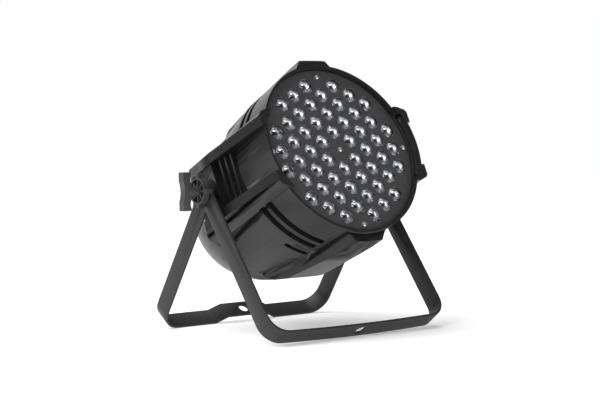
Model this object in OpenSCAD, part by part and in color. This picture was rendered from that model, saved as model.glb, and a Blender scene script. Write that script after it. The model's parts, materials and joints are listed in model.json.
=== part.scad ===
// LED par can light: a cast head with 54 lenses, tilting in two nested bracket yokes.
// Origin on the floor, midway between the front and rear of the whole light.
// The light shines towards -Y, +X is to the right seen from the front, +Z is up.

/* [Yokes] */
// Width of the steel strip the yokes are bent from
strip_w = 25; // [20:1:30]
// Thickness of the steel strip
strip_t = 3; // [2.5:0.5:3]
// Outside width of the front yoke
front_yoke_w = 267.6; // [267.6:0.2:270]
// Outside width of the rear yoke, which nests inside the front one
rear_yoke_w = 260.8; // [260.4:0.2:260.8]
// Distance from the pivot to the outer face of the front crossbar, at its middle
front_reach = 212; // [212:0.5:216]
// Distance from the pivot to the outer face of the rear crossbar
rear_reach = 206.5; // [205:0.5:206.5]
// Angle between the front yoke and straight down
front_splay = 37; // [32:1:42]
// Outside radius of the bends in the yokes
bend_r = 25; // [20:1:30]
// Diameter of the hole for a hook clamp in each crossbar
clamp_hole_d = 13; // [10.5:0.5:14]
// How far the middle of the rear crossbar steps inwards
joggle_depth = 8.5; // [6:0.5:10]

/* [Head] */
// Upward tilt of the head
tilt = 25.6; // [0:0.2:60]
// Spacing of the lenses
lens_pitch = 24.5; // [24:0.1:24.6]
// Diameter of one lens
lens_d = 18.4; // [16:0.2:18.6]
// Outside radius of the front rim
rim_r = 110.5; // [110:0.5:112]
// Wall thickness of the casting
wall = 3.2; // [3:0.1:3.6]
// Distance from the pivot to the front of the face plate
plate_z = 106; // [105:0.5:107]
// Distance from the pivot to the flat rear end
rear_z = 144; // [143.5:0.5:146]
// Distance from the head's middle to the face of each pivot boss
boss_x = 126; // [125.5:0.1:126]

/* [Hand knobs] */
// Length of the T bar of each knob
bar_len = 46; // [40:1:50]
// Diameter of the clamp studs
stud_d = 8; // [8:0.1:8.05]

/* [Hidden] */
$fn = 64;
eps = 0.01;

// The pivot's height follows from the front yoke standing on the rear edge of its crossbar.
pivot_h = front_reach * cos(front_splay) + strip_w / 2 * sin(front_splay);
rear_arm = sqrt(rear_reach * rear_reach + strip_w * strip_w / 4);
rear_splay = acos(pivot_h / rear_arm) + atan2(strip_w / 2, rear_reach);
// Puts the origin midway between the front and the rear of the light.
pivot_y = -1.45;
bar_sag = 2;

// Outline of the casting, from the rim back to the rounded tail, in the head's own axes.
rim_z = plate_z + 7;
side_lip_z = plate_z + 13;
drum_end_z = 45;
drum_r = rim_r - 0.5;
cone_end_z = -66;
cone_end_r = 95;
tail_r = 130;
cone_angle = atan((drum_r - cone_end_r) / (drum_end_z - cone_end_z));
tail_end_angle = 46;

recess_r = 48;
opening_r = 43;
cover_t = 2.5;
rear_wall = 5.5;

plate_t = 3;
plate_r = rim_r - wall - 0.5;
ledge_r = plate_r - 4;
face_screw_r = 98;
side_screw_r = 100.3;
screw_boss_r = 6;

hollow_front_z = 92;
keel_tip_r = 121;
keel_front_z = plate_z + 1;
keel_tip_w = 40;
keel_base_w = 52;
wing_in = 29;
wing_out = 41;
wing_foot = 46;
wing_front_x = 114.5;
flank_r = 113;
flank_lip_r = 110;
fin_count = 4;
fin_pitch = 10;
fin_t = 4;
panel_rear_z = 52;
panel_corner_r = 12;
boss_front_z = 13;
boss_rear_z = -30;

bore_r = stud_d / 2 + 0.05;
washer_r = 12;
arm_hole_r = bore_r;
fit_gap = 0.1;

lens_holder_h = 17;
board_z = plate_z - plate_t - lens_holder_h;
board_t = 2;
board_r = 94;
sink_z = board_z - board_t;
fan_size = 92;
fan_z = 28;
fan_t = 25;
chassis_z = -2;

socket_ring_r = 32;
socket_angles = [195, 245, 295, 345];
button_pitch = 12;
button_y = 12;
display_y = 28;

function polar(r, a) = [r * cos(a), r * sin(a)];
// Points [radius, z] of the rounded tail, moved in by a wall thickness where inset > 0.
function tail_points(inset) = [
    for (a = [cone_angle : (tail_end_angle - cone_angle) / 8 : tail_end_angle + eps])
        [cone_end_r - inset + (tail_r - inset) * (cos(a) - cos(cone_angle)),
         cone_end_z - (tail_r - inset) * (sin(a) - sin(cone_angle))]
];
// Centres of the 54 lenses: a hexagon of four rings without its middle and its six corners.
lens_spots = [
    for (i = [-4 : 4]) for (j = [-4 : 4])
        let (ring = max(abs(i), abs(j), abs(i + j)),
             corner = ring == 4 && i * j * (i + j) == 0)
        if (ring > 0 && ring <= 4 && !corner)
            lens_pitch * [j * sqrt(3) / 2, i + j / 2]
];

module in_head() {
    translate([0, pivot_y, pivot_h]) rotate([90 - tilt, 0, 0]) children();
}
module on_yoke(angle) {
    translate([0, pivot_y, pivot_h]) rotate([angle, 0, 0]) children();
}
module sided(side) {
    if (side > 0) children();
    else mirror([1, 0, 0]) children();
}
// A cylinder along +X that starts at the given distance from the middle.
module bar_x(r, from, to) {
    translate([from, 0, 0]) rotate([0, 90, 0]) cylinder(r = r, h = to - from);
}

// ---------- yokes ----------
// A quarter ring for a bend; its centre is the origin and it spans +X, -Z.
module bend(r_out, thick) {
    intersection() {
        difference() {
            circle(r = r_out);
            circle(r = r_out - thick);
        }
        translate([0, -r_out]) square([r_out, r_out]);
    }
}
// Both arms of a yoke with their bends, down to the given reach.
module arms_outline(half_w, reach) {
    for (side = [0, 1]) mirror([side, 0]) {
        translate([half_w - strip_t, -reach + bend_r]) square([strip_t, reach - bend_r]);
        translate([half_w - bend_r, -reach + bend_r]) bend(bend_r, strip_t);
    }
}
// The front crossbar sags a little between its bends.
module front_outline(half_w, middle_reach) {
    reach = middle_reach - bar_sag;
    flat_half = half_w - bend_r;
    sag_r = (flat_half * flat_half + bar_sag * bar_sag) / (2 * bar_sag);
    arms_outline(half_w, reach);
    intersection() {
        translate([0, sag_r - middle_reach]) difference() {
            circle(r = sag_r, $fn = 360);
            circle(r = sag_r - strip_t, $fn = 360);
        }
        translate([-flat_half, -middle_reach - 1]) square([2 * flat_half, bar_sag + strip_t + 2]);
    }
}
// The rear crossbar's middle steps inwards, so that a clamp sits flat on it.
module rear_outline(half_w, reach) {
    flat_w = 30;
    slope_w = 16;
    outer = [[half_w - bend_r, 0], [flat_w + slope_w, 0], [flat_w, joggle_depth]];
    inner = [[half_w - bend_r, strip_t], [flat_w + slope_w + 1, strip_t], [flat_w + 1, joggle_depth + strip_t]];
    arms_outline(half_w, reach);
    translate([0, -reach]) polygon(concat(
        [for (p = outer) p], [for (i = [2 : -1 : 0]) [-outer[i][0], outer[i][1]]],
        [for (p = inner) [-p[0], p[1]]], [for (i = [2 : -1 : 0]) inner[i]]
    ));
}
module yoke_solid(half_w, clamp_z) {
    difference() {
        union() {
            rotate([90, 0, 0]) translate([0, 0, -strip_w / 2]) linear_extrude(strip_w) children();
            for (side = [-1, 1]) sided(side) bar_x(strip_w / 2, half_w - strip_t, half_w);
        }
        for (side = [-1, 1]) sided(side) bar_x(arm_hole_r, half_w - strip_t - 1, half_w + 1);
        translate([0, 0, -clamp_z - strip_t]) cylinder(d = clamp_hole_d, h = 4 * strip_t);
    }
}
module front_yoke() {
    color([0.19, 0.19, 0.2])
        on_yoke(-front_splay)
            yoke_solid(front_yoke_w / 2, front_reach)
                front_outline(front_yoke_w / 2, front_reach);
}
module rear_yoke() {
    color([0.19, 0.19, 0.2])
        on_yoke(rear_splay)
            yoke_solid(rear_yoke_w / 2, rear_reach - joggle_depth)
                rear_outline(rear_yoke_w / 2, rear_reach);
}

// ---------- pivot hardware ----------
module friction_washer(side) {
    color([0.12, 0.12, 0.12])
        in_head() sided(side) difference() {
            bar_x(washer_r, boss_x, rear_yoke_w / 2 - strip_t - fit_gap);
            bar_x(bore_r + 0.2, boss_x - 1, rear_yoke_w / 2);
        }
}
module friction_washer_l() { friction_washer(-1); }
module friction_washer_r() { friction_washer(1); }

module pivot_insert(side) {
    color([0.75, 0.75, 0.77])
        in_head() sided(side) difference() {
            bar_x(7, boss_x - 20, boss_x);
            bar_x(bore_r, boss_x - 21, boss_x + 1);
        }
}
module pivot_insert_l() { pivot_insert(-1); }
module pivot_insert_r() { pivot_insert(1); }

knob_x = front_yoke_w / 2 + 1.6;
cup_t = 8;
neck_end_x = knob_x + 21;
bar_x_end = neck_end_x + 9;
module clamp_washer(side) {
    color([0.7, 0.7, 0.72])
        on_yoke(0) sided(side) difference() {
            bar_x(11, front_yoke_w / 2 + fit_gap, knob_x - fit_gap);
            bar_x(bore_r, front_yoke_w / 2 - 1, knob_x + 1);
        }
}
module clamp_washer_l() { clamp_washer(-1); }
module clamp_washer_r() { clamp_washer(1); }

module knob_stud(side) {
    color([0.7, 0.7, 0.72])
        on_yoke(0) sided(side) bar_x(stud_d / 2, boss_x - 18, knob_x + 16);
}
module knob_stud_l() { knob_stud(-1); }
module knob_stud_r() { knob_stud(1); }

// A hollow lobed cup, a neck and a waisted T bar, moulded in one piece.
module knob(side) {
    cup_r = 16;
    lobe_r = 20.5;
    color([0.2, 0.2, 0.21])
        on_yoke(0) sided(side) difference() {
            union() {
                difference() {
                    union() {
                        bar_x(cup_r, knob_x, knob_x + cup_t);
                        for (a = [0 : 90 : 270]) rotate([a, 0, 0])
                            translate([knob_x, -3, 0]) cube([cup_t, 6, lobe_r]);
                    }
                    bar_x(cup_r - 2, knob_x + 2.5, knob_x + cup_t + 1);
                }
                for (a = [0 : 45 : 135]) rotate([a, 0, 0])
                    translate([knob_x + 2, -0.9, -cup_r + 1]) cube([cup_t - 3, 1.8, 2 * cup_r - 2]);
                bar_x(6.5, knob_x, neck_end_x + 2);
                difference() {
                    translate([neck_end_x - 2, -5, -bar_len / 2]) cube([11, 10, bar_len]);
                    translate([bar_x_end + 35, 0, 0]) rotate([90, 0, 0])
                        cylinder(r = 37, h = 20, center = true, $fn = 96);
                    for (s = [-1, 1]) translate([neck_end_x - 12, 0, s * 15]) rotate([90, 0, 0])
                        cylinder(r = 11.2, h = 20, center = true);
                }
            }
            bar_x(stud_d / 2, knob_x - 1, knob_x + 16);
        }
}
module knob_l() { knob(-1); }
module knob_r() { knob(1); }

// ---------- housing ----------
module tail_of_revolution(inset) {
    rotate_extrude($fn = 128) polygon(concat(
        [[0, drum_end_z], [drum_r - inset, drum_end_z]],
        tail_points(inset),
        [[recess_r + 3 - inset, -rear_z + (inset > 0 ? rear_wall : 0)],
         [0, -rear_z + (inset > 0 ? rear_wall : 0)]]
    ));
}
// A keel along the top or bottom: a shallow roof in section, sinking into the tail.
module keel(inset) {
    tip = keel_tip_r - inset;
    front = inset > 0 ? hollow_front_z : keel_front_z;
    foot = inset > 0 ? 88 : 78;
    intersection() {
        rotate([90, 0, 90]) translate([0, 0, -keel_base_w]) linear_extrude(2 * keel_base_w) polygon([
            [foot, front], [tip - 1, front], [tip, front - 2], [tip - 5, 35],
            [110 - inset, -28], [104 - inset, -48], [94 - inset, -64 + inset], [foot, -66 + inset]
        ]);
        for (side = [0, 1]) mirror([side, 0, 0]) translate([0, 0, -90]) linear_extrude(300) polygon([
            [-eps, foot], [keel_base_w / 2 + 10 - 2 * inset, foot], [keel_base_w / 2 + 7 - 2 * inset, 103 - inset],
            [keel_base_w / 2 - inset, 111 - inset], [keel_tip_w / 2 - inset, keel_tip_r - 1.5 - inset],
            [-eps, keel_tip_r + eps - inset]
        ]);
    }
}
// Side view of a flank's wings, flaring from the rim out to the pivot boss.
module wing_profile(inset) {
    front = inset > 0 ? hollow_front_z : side_lip_z;
    root = inset > 0 ? 90 : 75;
    polygon([
        [root, front], [wing_front_x - 1 - inset, front], [wing_front_x - inset, front - 3],
        [boss_x - 1.5 - inset, 18], [boss_x - 1.5 - inset, boss_rear_z + inset],
        [116 - inset, -44 + inset], [root, -66 + inset]
    ]);
}
module flank_section(inset) {
    root = inset > 0 ? 90 : 75;
    for (s = [0, 1]) mirror([0, s]) polygon([
        [root, wing_in + inset], [140, wing_in + inset], [140, wing_out - inset],
        [wing_front_x - inset, wing_out - inset], [111 - inset, wing_foot - inset],
        [100 - inset, wing_foot + 4 - inset], [root, wing_foot + 6 - inset]
    ]);
}
module along_y(half_w) {
    rotate([90, 0, 0]) translate([0, 0, -half_w]) linear_extrude(2 * half_w) children();
}
module wings(inset) {
    intersection() {
        along_y(60) wing_profile(inset);
        translate([0, 0, -90]) linear_extrude(300) flank_section(inset);
    }
}
// The smooth panel between a flank's wings, a piece of a slightly larger drum with round rear corners.
module flank_panel() {
    half = wing_in + 0.5;
    intersection() {
        translate([0, 0, panel_rear_z]) cylinder(r = flank_r, h = side_lip_z - panel_rear_z, $fn = 128);
        translate([75, 0, 0]) rotate([90, 0, 90]) linear_extrude(50) union() {
            translate([-half, panel_rear_z + panel_corner_r]) square([2 * half, 200]);
            translate([panel_corner_r - half, panel_rear_z]) square([2 * (half - panel_corner_r), 200]);
            for (s = [-1, 1]) translate([s * (half - panel_corner_r), panel_rear_z + panel_corner_r])
                circle(r = panel_corner_r);
        }
    }
}
module fins() {
    for (i = [0 : fin_count - 2])
        translate([100, -wing_in - 0.5, panel_rear_z - (i + 1) * fin_pitch])
            cube([flank_r + 1 - 100 + i * 1.5, 2 * wing_in + 1, fin_t]);
}
// Slots between the fins, through the drum's wall.
module fin_slots() {
    for (i = [0 : fin_count - 2])
        translate([90, -24, panel_rear_z - (i + 1) * fin_pitch + fin_t + 1]) cube([24, 48, fin_pitch - fin_t - 2]);
}
module boss_block(inset) {
    along_y(wing_in + 0.5) polygon([
        [90, boss_front_z - inset], [boss_x - 4 - inset, boss_front_z - inset],
        [boss_x - 4 - inset, boss_rear_z + inset], [114 - inset, -44 + inset], [90, -62 + inset]
    ]);
}
module vent(z, from, to, height) {
    for (mx = [0, 1]) mirror([mx, 0, 0]) for (my = [0, 1]) mirror([0, my, 0])
        rotate([0, 0, from]) translate([0, 0, z - height / 2])
            rotate_extrude(angle = to - from, $fn = 128) translate([96, 0]) square([20, height]);
}
module face_screw_spots() {
    for (s = [-1, 1]) {
        translate([0, s * face_screw_r, 0]) children();
        translate([s * side_screw_r, 0, 0]) children();
    }
}
rear_screw_spots = [for (a = [30 : 60 : 330]) polar(45.4, a)];
chassis_spots = [for (a = [45 : 90 : 315]) polar(84, a)];
module housing() {
    color([0.16, 0.16, 0.17]) in_head() difference() {
        union() {
            difference() {
                union() {
                    translate([0, 0, drum_end_z - eps])
                        cylinder(r1 = drum_r, r2 = rim_r, h = rim_z - drum_end_z + eps, $fn = 128);
                    tail_of_revolution(0);
                    for (s = [0, 1]) mirror([0, s, 0]) keel(0);
                    for (s = [0, 1]) mirror([s, 0, 0]) {
                        wings(0);
                        flank_panel();
                        boss_block(0);
                    }
                }
                translate([0, 0, drum_end_z - eps])
                    cylinder(r = ledge_r, h = side_lip_z - drum_end_z + 1, $fn = 128);
                tail_of_revolution(wall);
                for (s = [0, 1]) mirror([0, s, 0]) keel(wall);
                for (s = [0, 1]) mirror([s, 0, 0]) {
                    wings(wall);
                    boss_block(wall);
                }
            }
            for (s = [0, 1]) mirror([s, 0, 0]) {
                fins();
                bar_x(13, boss_x - 24, boss_x);
            }
            intersection() {
                face_screw_spots() translate([0, 0, 70]) cylinder(r = screw_boss_r, h = plate_z - plate_t - 70);
                cylinder(r = plate_r + 1, h = 200, $fn = 128);
            }
            for (p = rear_screw_spots) translate([p[0], p[1], -rear_z + cover_t]) cylinder(r = 4.5, h = 12);
            for (p = chassis_spots) translate([p[0], p[1], chassis_z - 14]) cylinder(r = 6, h = 14);
            for (a = [45 : 90 : 315]) rotate([0, 0, a]) translate([84, -3, chassis_z - 14]) cube([16.5, 6, 12]);
        }
        translate([0, 0, plate_z - plate_t]) cylinder(r = plate_r + 0.3, h = 30, $fn = 128);
        translate([0, 0, -rear_z - 1]) cylinder(r = recess_r, h = cover_t + 1);
        difference() {
            translate([0, 0, -rear_z - 1]) cylinder(r = opening_r, h = rear_wall + 2);
            for (p = rear_screw_spots) translate([p[0], p[1], -rear_z + cover_t]) cylinder(r = 4.5, h = 12);
        }
        intersection() {
            translate([0, 0, rim_z - 3]) cylinder(r = flank_lip_r, h = 20, $fn = 128);
            translate([-150, -wing_out, rim_z - 3]) cube([300, 2 * wing_out, 20]);
        }
        vent(70, 26, 70, 9);
        vent(55, 26, 69, 9);
        vent(32, 54, 71, 8);
        for (s = [0, 1]) mirror([s, 0, 0]) bar_x(7, boss_x - 20, boss_x + 1);
        for (p = rear_screw_spots) translate([p[0], p[1], -rear_z]) cylinder(r = 1.5, h = 12);
        for (p = chassis_spots) translate([p[0], p[1], chassis_z - 10]) cylinder(r = 1.5, h = 11);
        face_screw_spots() translate([0, 0, plate_z - 14]) cylinder(r = 1.5, h = 15);
        for (s = [0, 1]) mirror([s, 0, 0]) fin_slots();
        for (s = [-1, 1]) rotate([0, 0, eye_angle]) translate([0, 0, eye_z + s * eye_half])
            bar_x(eye_rod + 0.05, 85, 110);
    }
}

// ---------- optics ----------
module at_lenses(z) {
    for (p = lens_spots) translate([p[0], p[1], z]) children();
}
module face_plate() {
    color([0.2, 0.2, 0.21]) in_head() difference() {
        translate([0, 0, plate_z - plate_t]) cylinder(r = plate_r, h = plate_t, $fn = 128);
        at_lenses(plate_z - plate_t - 1) cylinder(d = lens_d + 0.6, h = plate_t + 2);
        face_screw_spots() translate([0, 0, plate_z - plate_t - 1]) cylinder(r = 1.8, h = plate_t + 2);
        translate([0, 0, plate_z - plate_t - 1]) cylinder(r = 1.8, h = plate_t + 2);
    }
}
// A pan-head screw standing on z = 0, with a cross recess.
module pan_screw(head_r, shank_r, shank_l) {
    head_h = head_r * 0.65;
    difference() {
        union() {
            intersection() {
                cylinder(r = head_r, h = head_h);
                translate([0, 0, head_h - head_r * 1.9]) sphere(r = head_r * 1.9);
            }
            translate([0, 0, -shank_l]) cylinder(r = shank_r, h = shank_l + eps);
        }
        for (a = [0, 90]) rotate([0, 0, a])
            translate([-head_r * 0.55, -head_r * 0.12, head_h * 0.45]) cube([head_r * 1.1, head_r * 0.24, head_h]);
    }
}
module face_screws() {
    color([0.8, 0.8, 0.82]) in_head() {
        face_screw_spots() translate([0, 0, plate_z]) pan_screw(3, 1.45, 12);
        translate([0, 0, plate_z]) pan_screw(3, 1.45, 26);
    }
}
module lens_dome() {
    dome_r = 12;
    dome_h = 4.5;
    intersection() {
        translate([0, 0, -plate_t]) cylinder(d = lens_d, h = plate_t + dome_h);
        translate([0, 0, dome_h - dome_r]) sphere(r = dome_r);
    }
}
module lenses() {
    color([0.85, 0.9, 0.95, 0.5]) in_head() at_lenses(plate_z) lens_dome();
}
module lens_holders() {
    color([0.08, 0.08, 0.08]) in_head() at_lenses(board_z) difference() {
        cylinder(r1 = 6.5, r2 = 9.8, h = lens_holder_h);
        translate([0, 0, -1]) cylinder(r = 4.5, h = lens_holder_h + 2);
    }
}
module led_board() {
    color([0.85, 0.85, 0.83]) in_head() difference() {
        translate([0, 0, board_z - board_t]) cylinder(r = board_r, h = board_t, $fn = 128);
        face_screw_spots() translate([0, 0, board_z - board_t - 1]) cylinder(r = screw_boss_r + 1, h = board_t + 2);
        for (p = concat(sink_screw_spots, [[0, 0]]))
            translate([p[0], p[1], board_z - board_t - 1]) cylinder(r = 1.6, h = board_t + 2);
        rotate([0, 0, 30]) translate([board_r, 0, board_z - board_t - 1]) cylinder(r = 4.5, h = board_t + 2);
    }
}
module led_emitters() {
    color([0.9, 0.85, 0.4]) in_head() at_lenses(board_z) union() {
        translate([-2.5, -2.5, 0]) cube([5, 5, 1.2]);
        translate([0, 0, 1.2 - eps]) cylinder(r1 = 2, r2 = 1.2, h = 0.8);
    }
}
sink_base = 5;
sink_fin_l = 24;
fan_hole = 41.25;
sink_screw_spots = [for (a = [0 : 60 : 300]) polar(lens_pitch * 4 / sqrt(3), a)];
fan_spots = [for (x = [-1, 1], y = [-1, 1]) fan_hole * [x, y]];
module heat_sink() {
    color([0.75, 0.75, 0.77]) in_head() difference() {
        union() {
            translate([0, 0, sink_z - sink_base]) cylinder(r = 90, h = sink_base, $fn = 96);
            intersection() {
                translate([0, 0, sink_z - sink_base - sink_fin_l]) cylinder(r = 88, h = sink_fin_l + eps, $fn = 96);
                for (i = [-8 : 8]) translate([i * 10 - 1.25, -90, sink_z - sink_base - sink_fin_l])
                    cube([2.5, 180, sink_fin_l + eps]);
            }
            for (p = concat(fan_spots, [[0, 0]]))
                translate([p[0], p[1], sink_z - sink_base - sink_fin_l]) cylinder(r = 5, h = sink_fin_l + eps);
        }
        face_screw_spots() cylinder(r = screw_boss_r + 1.5, h = 100);
        translate([0, 0, sink_z - 15]) cylinder(r = 1.5, h = 16);
        for (p = sink_screw_spots) translate([p[0], p[1], sink_z - 4.5]) cylinder(r = 1.5, h = 5);
        for (p = fan_spots) translate([p[0], p[1], sink_z - sink_base - sink_fin_l - 1]) cylinder(r = 1.5, h = 15);
    }
}
module heat_sink_screws() {
    color([0.8, 0.8, 0.82]) in_head()
        for (p = sink_screw_spots) translate([p[0], p[1], board_z]) pan_screw(2.6, 1.45, board_t + 4);
}

// ---------- fan ----------
module fan_frame() {
    hub_r = 17;
    color([0.1, 0.1, 0.1]) in_head() translate([0, 0, fan_z]) {
        difference() {
            translate([-fan_size / 2, -fan_size / 2, 0]) cube([fan_size, fan_size, fan_t]);
            translate([0, 0, -1]) cylinder(r = fan_size / 2 - 2.5, h = fan_t + 2, $fn = 96);
            for (p = fan_spots) translate([p[0], p[1], -1]) cylinder(r = 1.8, h = fan_t + 2);
        }
        cylinder(r = hub_r, h = 3);
        cylinder(r = 2, h = fan_t - 5);
        for (a = [45 : 90 : 315]) rotate([0, 0, a]) translate([hub_r - 2, -2, 0]) cube([fan_size / 2 - hub_r + 1, 4, 3]);
    }
}
module fan_rotor() {
    blades = 7;
    color([0.14, 0.14, 0.14]) in_head() translate([0, 0, fan_z + 4]) difference() {
        union() {
            cylinder(r = 19, h = 19);
            for (i = [0 : blades - 1]) rotate([0, 0, i * 360 / blades]) translate([30, 0, 9.5]) rotate([38, 0, 0])
                cube([23, 19, 1.8], center = true);
        }
        translate([0, 0, -1]) cylinder(r = 2.06, h = 18);
    }
}
module fan_screws() {
    color([0.8, 0.8, 0.82]) in_head()
        for (p = fan_spots) translate([p[0], p[1], fan_z]) mirror([0, 0, 1]) pan_screw(3, 1.45, fan_t + 12);
}

// ---------- chassis and electronics ----------
chassis_t = 2;
module chassis_plate() {
    color([0.72, 0.73, 0.75]) in_head() difference() {
        intersection() {
            translate([0, 0, chassis_z]) cylinder(r = 94, h = chassis_t, $fn = 96);
            translate([-70, -94, chassis_z]) cube([140, 188, chassis_t]);
        }
        for (p = chassis_spots) translate([p[0], p[1], chassis_z - 1]) cylinder(r = 1.8, h = chassis_t + 2);
        for (s = [-1, 1]) translate([0, s * 62, chassis_z - 1]) cylinder(r = 16, h = chassis_t + 2);
    }
}
module chassis_screws() {
    color([0.8, 0.8, 0.82]) in_head()
        for (p = chassis_spots) translate([p[0], p[1], chassis_z + chassis_t]) pan_screw(3, 1.45, 10);
}
module power_supply() {
    color([0.7, 0.71, 0.73]) in_head() difference() {
        translate([-50, -32, chassis_z - 38]) cube([100, 64, 38]);
        for (i = [-3 : 3]) translate([i * 12 - 3, -33, chassis_z - 30]) cube([6, 66, 22]);
    }
}
module driver_board() {
    board_bottom = chassis_z + chassis_t + 4;
    color([0.1, 0.35, 0.2]) in_head() union() {
        translate([-58, -30, board_bottom]) cube([116, 60, 1.6]);
        for (x = [-1, 1], y = [-1, 1]) translate([x * 54, y * 26, chassis_z + chassis_t])
            cylinder(r = 2.5, h = 4 + eps);
        for (i = [-2 : 2]) translate([i * 20, 12, board_bottom + 1.5]) cylinder(r = 5, h = 9);
        for (i = [-2 : 2]) translate([i * 20 - 6, -20, board_bottom + 1.5]) cube([12, 12, 5]);
        translate([46, 14, board_bottom + 1.5]) cube([10, 12, 7]);
    }
}
// A round wire loom through the given points.
module loom(points, r) {
    for (i = [0 : len(points) - 2]) {
        run = points[i + 1] - points[i];
        translate(points[i]) {
            sphere(r = r + 0.3);
            rotate([0, acos(run[2] / norm(run)), atan2(run[1], run[0])]) cylinder(r = r, h = norm(run));
        }
    }
    translate(points[len(points) - 1]) sphere(r = r + 0.3);
}
function around(r, a, z) = [r * cos(a), r * sin(a), z];
module led_wiring() {
    color([0.6, 0.1, 0.1]) in_head()
        loom([[51, 20, 15.4], around(82, 30, 18), around(98.5, 30, 30), around(98.5, 30, 86),
              around(91, 30, 88.9), around(84, 30, 88.9)], 2.5);
}
module mains_wiring() {
    color([0.25, 0.3, 0.6]) in_head()
        loom([[-31, -8, -122.6], [-34, -8, -100], [-40, 0, -70], [-38, 0, -44]], 3);
}
module signal_wiring() {
    color([0.3, 0.3, 0.3]) in_head()
        loom([[20, 24, -125.5], [24, 44, -100], [8, 62, -50], [8, 62, 12], [8, 34, 12]], 2.5);
}

// ---------- rear panel ----------
socket_spots = [for (a = socket_angles) polar(socket_ring_r, a)];
flange_r = 12.2;
barrel_r = 10.5;
cup_in_r = 8.6;
fuse_spot = [0, -7];
button_spots = [for (i = [-1.5 : 1 : 1.5]) [i * button_pitch, button_y]];
window_w = 40;
window_h = 14;
control_z = -rear_z + cover_t + 9;
// Places children on the rear face, with their +Z pointing out of the back.
module on_rear(spot) {
    in_head() translate([spot[0], spot[1], -rear_z]) rotate([180, 0, 0]) children();
}
// The release tab stands in a notch of its socket's flange, on the side nearest the fuse.
release_w = 5;
module on_release() {
    translate([socket_spots[2][0], socket_spots[2][1], -rear_z]) rotate([180, 0, 0]) children();
}
module rear_cover() {
    color([0.17, 0.17, 0.18]) in_head() difference() {
        union() {
            translate([0, 0, -rear_z]) cylinder(r = recess_r - 0.3, h = cover_t, $fn = 96);
            for (x = [-1, 1], y = [9, 30]) translate([x * 27, y, -rear_z + cover_t - eps]) cylinder(r = 2.5, h = 9 + eps);
        }
        for (p = rear_screw_spots) translate([p[0], p[1], -rear_z - 1]) cylinder(r = 1.8, h = cover_t + 2);
        for (p = socket_spots) translate([p[0], p[1], -rear_z - 1]) cylinder(r = barrel_r + 0.2, h = cover_t + 2);
        for (p = button_spots) translate([p[0], p[1], -rear_z - 1]) cylinder(r = 3.6, h = cover_t + 2);
        translate([fuse_spot[0], fuse_spot[1], -rear_z - 1]) cylinder(r = 6.2, h = cover_t + 2);
        translate([-window_w / 2 - 0.2, display_y - window_h / 2 - 0.2, -rear_z - 1])
            cube([window_w + 0.4, window_h + 0.4, 2.5]);
        translate([-window_w / 2 + 2, display_y - window_h / 2 + 1.5, -rear_z - 1])
            cube([window_w - 4, window_h - 3, cover_t + 2]);
        on_release() translate([-release_w / 2 - 0.4, -flange_r + 0.2, -cover_t - 1])
            cube([release_w + 0.8, flange_r - barrel_r + 1, cover_t + 2]);
    }
}
module rear_screws() {
    color([0.8, 0.8, 0.82])
        for (p = rear_screw_spots) on_rear(p) pan_screw(2.8, 1.45, 12);
}
module control_board() {
    color([0.1, 0.35, 0.2]) in_head() union() {
        translate([-33, 5, control_z]) cube([66, 32, 1.6]);
        for (p = button_spots) translate([p[0] - 3, p[1] - 3, control_z - 3.5]) cube([6, 6, 3.5 + eps]);
        translate([-14, 14, control_z + 1.5]) cube([14, 14, 2]);
        translate([12, 18, control_z + 1.5]) cube([14, 10, 2.6]);
    }
}
module display() {
    color([0.15, 0.2, 0.16]) in_head()
        translate([-22, display_y - 8.5, control_z - 6]) cube([44, 17, 6]);
}
module display_window() {
    color([0.25, 0.3, 0.3, 0.6]) in_head()
        translate([-window_w / 2, display_y - window_h / 2, -rear_z - 0.3]) cube([window_w, window_h, 1.7]);
}
module menu_button(i) {
    color([0.12, 0.12, 0.13]) on_rear(button_spots[i]) {
        translate([0, 0, -cover_t - 0.3]) cylinder(r = 3.2, h = cover_t + 1.7);
        intersection() {
            translate([0, 0, 1.4 - eps]) cylinder(r = 3.2, h = 1);
            translate([0, 0, -3.6]) sphere(r = 6);
        }
        translate([0, 0, -cover_t - 1.5]) cylinder(r = 4.4, h = 1.2 + eps);
        translate([0, 0, -cover_t - 4.4]) cylinder(r = 1.4, h = 3);
    }
}
module menu_button_1() { menu_button(0); }
module menu_button_2() { menu_button(1); }
module menu_button_3() { menu_button(2); }
module menu_button_4() { menu_button(3); }

socket_depth = 14;
barrel_l = 18;
module socket_shell(core_r) {
    difference() {
        union() {
            cylinder(r = flange_r, h = 2);
            translate([0, 0, -barrel_l]) cylinder(r = barrel_r, h = barrel_l + eps);
        }
        translate([0, 0, 2 - socket_depth]) difference() {
            cylinder(r = cup_in_r, h = socket_depth + 1);
            if (core_r > 0) translate([0, 0, -1]) cylinder(r = core_r, h = socket_depth - 1);
        }
    }
}
module power_socket(i) {
    on_rear(socket_spots[i]) difference() {
        socket_shell(4.6);
        for (a = [90, 210, 330]) rotate([0, 0, a]) translate([1.2, -0.5, 2 - socket_depth]) cube([2.2, 1, socket_depth]);
        for (a = [30, 150, 270]) rotate([0, 0, a]) translate([cup_in_r - 0.5, -1.5, -6]) cube([1.3, 3, 9]);
    }
}
module power_contacts(i) {
    color([0.85, 0.7, 0.3]) on_rear(socket_spots[i])
        for (a = [90, 210, 330]) rotate([0, 0, a]) translate([1.4, -0.4, 2 - socket_depth]) cube([1.8, 0.8, 9]);
}
module power_in() { color([0.15, 0.25, 0.55]) power_socket(0); }
module power_out() { color([0.55, 0.55, 0.57]) power_socket(3); }
module power_in_contacts() { power_contacts(0); }
module power_out_contacts() { power_contacts(3); }
pin_angles = [30, 90, 150];
module dmx_in() { color([0.12, 0.12, 0.12]) on_rear(socket_spots[1]) socket_shell(0); }
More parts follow.
